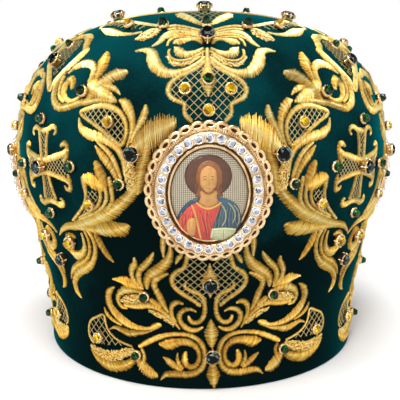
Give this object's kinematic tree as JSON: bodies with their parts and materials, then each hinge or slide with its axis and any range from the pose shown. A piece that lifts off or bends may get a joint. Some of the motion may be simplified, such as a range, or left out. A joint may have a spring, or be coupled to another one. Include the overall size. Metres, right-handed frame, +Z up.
{
  "type": "bishop mitre",
  "caption": "Domed velvet bishop's mitre with raised gold-work scrolls and crosses, framed oval icon medallions and set stones.",
  "frame": {"origin": "centre of the rim, on the surface that the mitre stands on", "axes": "+Z up through the top of the crown, -Y towards the front medallion, +X towards the mitre's right-hand medallion as seen from the front"},
  "size_m": [0.2424, 0.2424, 0.1985],
  "materials": {
    "velvet": "short dark teal-green pile with a brighter sheen at the edges",
    "gold_thread": "laid metal thread, satin, pale cream-gold to amber",
    "gilt": "polished gilt metal",
    "painted_icon": "painted low relief under a satin lacquer",
    "green_glass": "faceted, foil-backed, deep green",
    "yellow_glass": "faceted, foil-backed, yellow",
    "clear_glass": "faceted, foil-backed, clear"
  },
  "bodies": {
    "root": {"crown": "velvet", "embroidery_front": "gold_thread", "embroidery_right": "gold_thread", "embroidery_back": "gold_thread", "embroidery_left": "gold_thread", "medallion_frame_front": "gilt", "medallion_frame_right": "gilt", "medallion_frame_back": "gilt", "medallion_frame_left": "gilt", "medallion_plaque_front": "painted_icon", "medallion_plaque_right": "painted_icon", "medallion_plaque_back": "painted_icon", "medallion_plaque_left": "painted_icon", "cross_front_left": "gold_thread", "cross_front_right": "gold_thread", "cross_back_right": "gold_thread", "cross_back_left": "gold_thread", "vee_front_left": "gold_thread", "vee_front_right": "gold_thread", "vee_back_right": "gold_thread", "vee_back_left": "gold_thread", "stone_crest_front": "green_glass", "stone_crest_right": "green_glass", "stone_crest_back": "green_glass", "stone_crest_left": "green_glass", "stone_pendant_front": "green_glass", "stone_pendant_right": "green_glass", "stone_pendant_back": "green_glass", "stone_pendant_left": "green_glass", "stone_foot_front": "green_glass", "stone_foot_right": "green_glass", "stone_foot_back": "green_glass", "stone_foot_left": "green_glass", "stone_side_front_a": "green_glass", "stone_side_front_b": "green_glass", "stone_side_right_a": "green_glass", "stone_side_right_b": "green_glass", "stone_side_back_a": "green_glass", "stone_side_back_b": "green_glass", "stone_side_left_a": "green_glass", "stone_side_left_b": "green_glass", "stone_vee_front_left": "green_glass", "stone_vee_front_right": "green_glass", "stone_vee_back_right": "green_glass", "stone_vee_back_left": "green_glass", "stone_cross_front_left": "green_glass", "stone_cross_front_right": "green_glass", "stone_cross_back_right": "green_glass", "stone_cross_back_left": "green_glass", "stone_seam_front_left": "green_glass", "stone_seam_front_right": "green_glass", "stone_seam_back_right": "green_glass", "stone_seam_back_left": "green_glass", "top_ring": "gilt"}
  },
  "joints": []
}
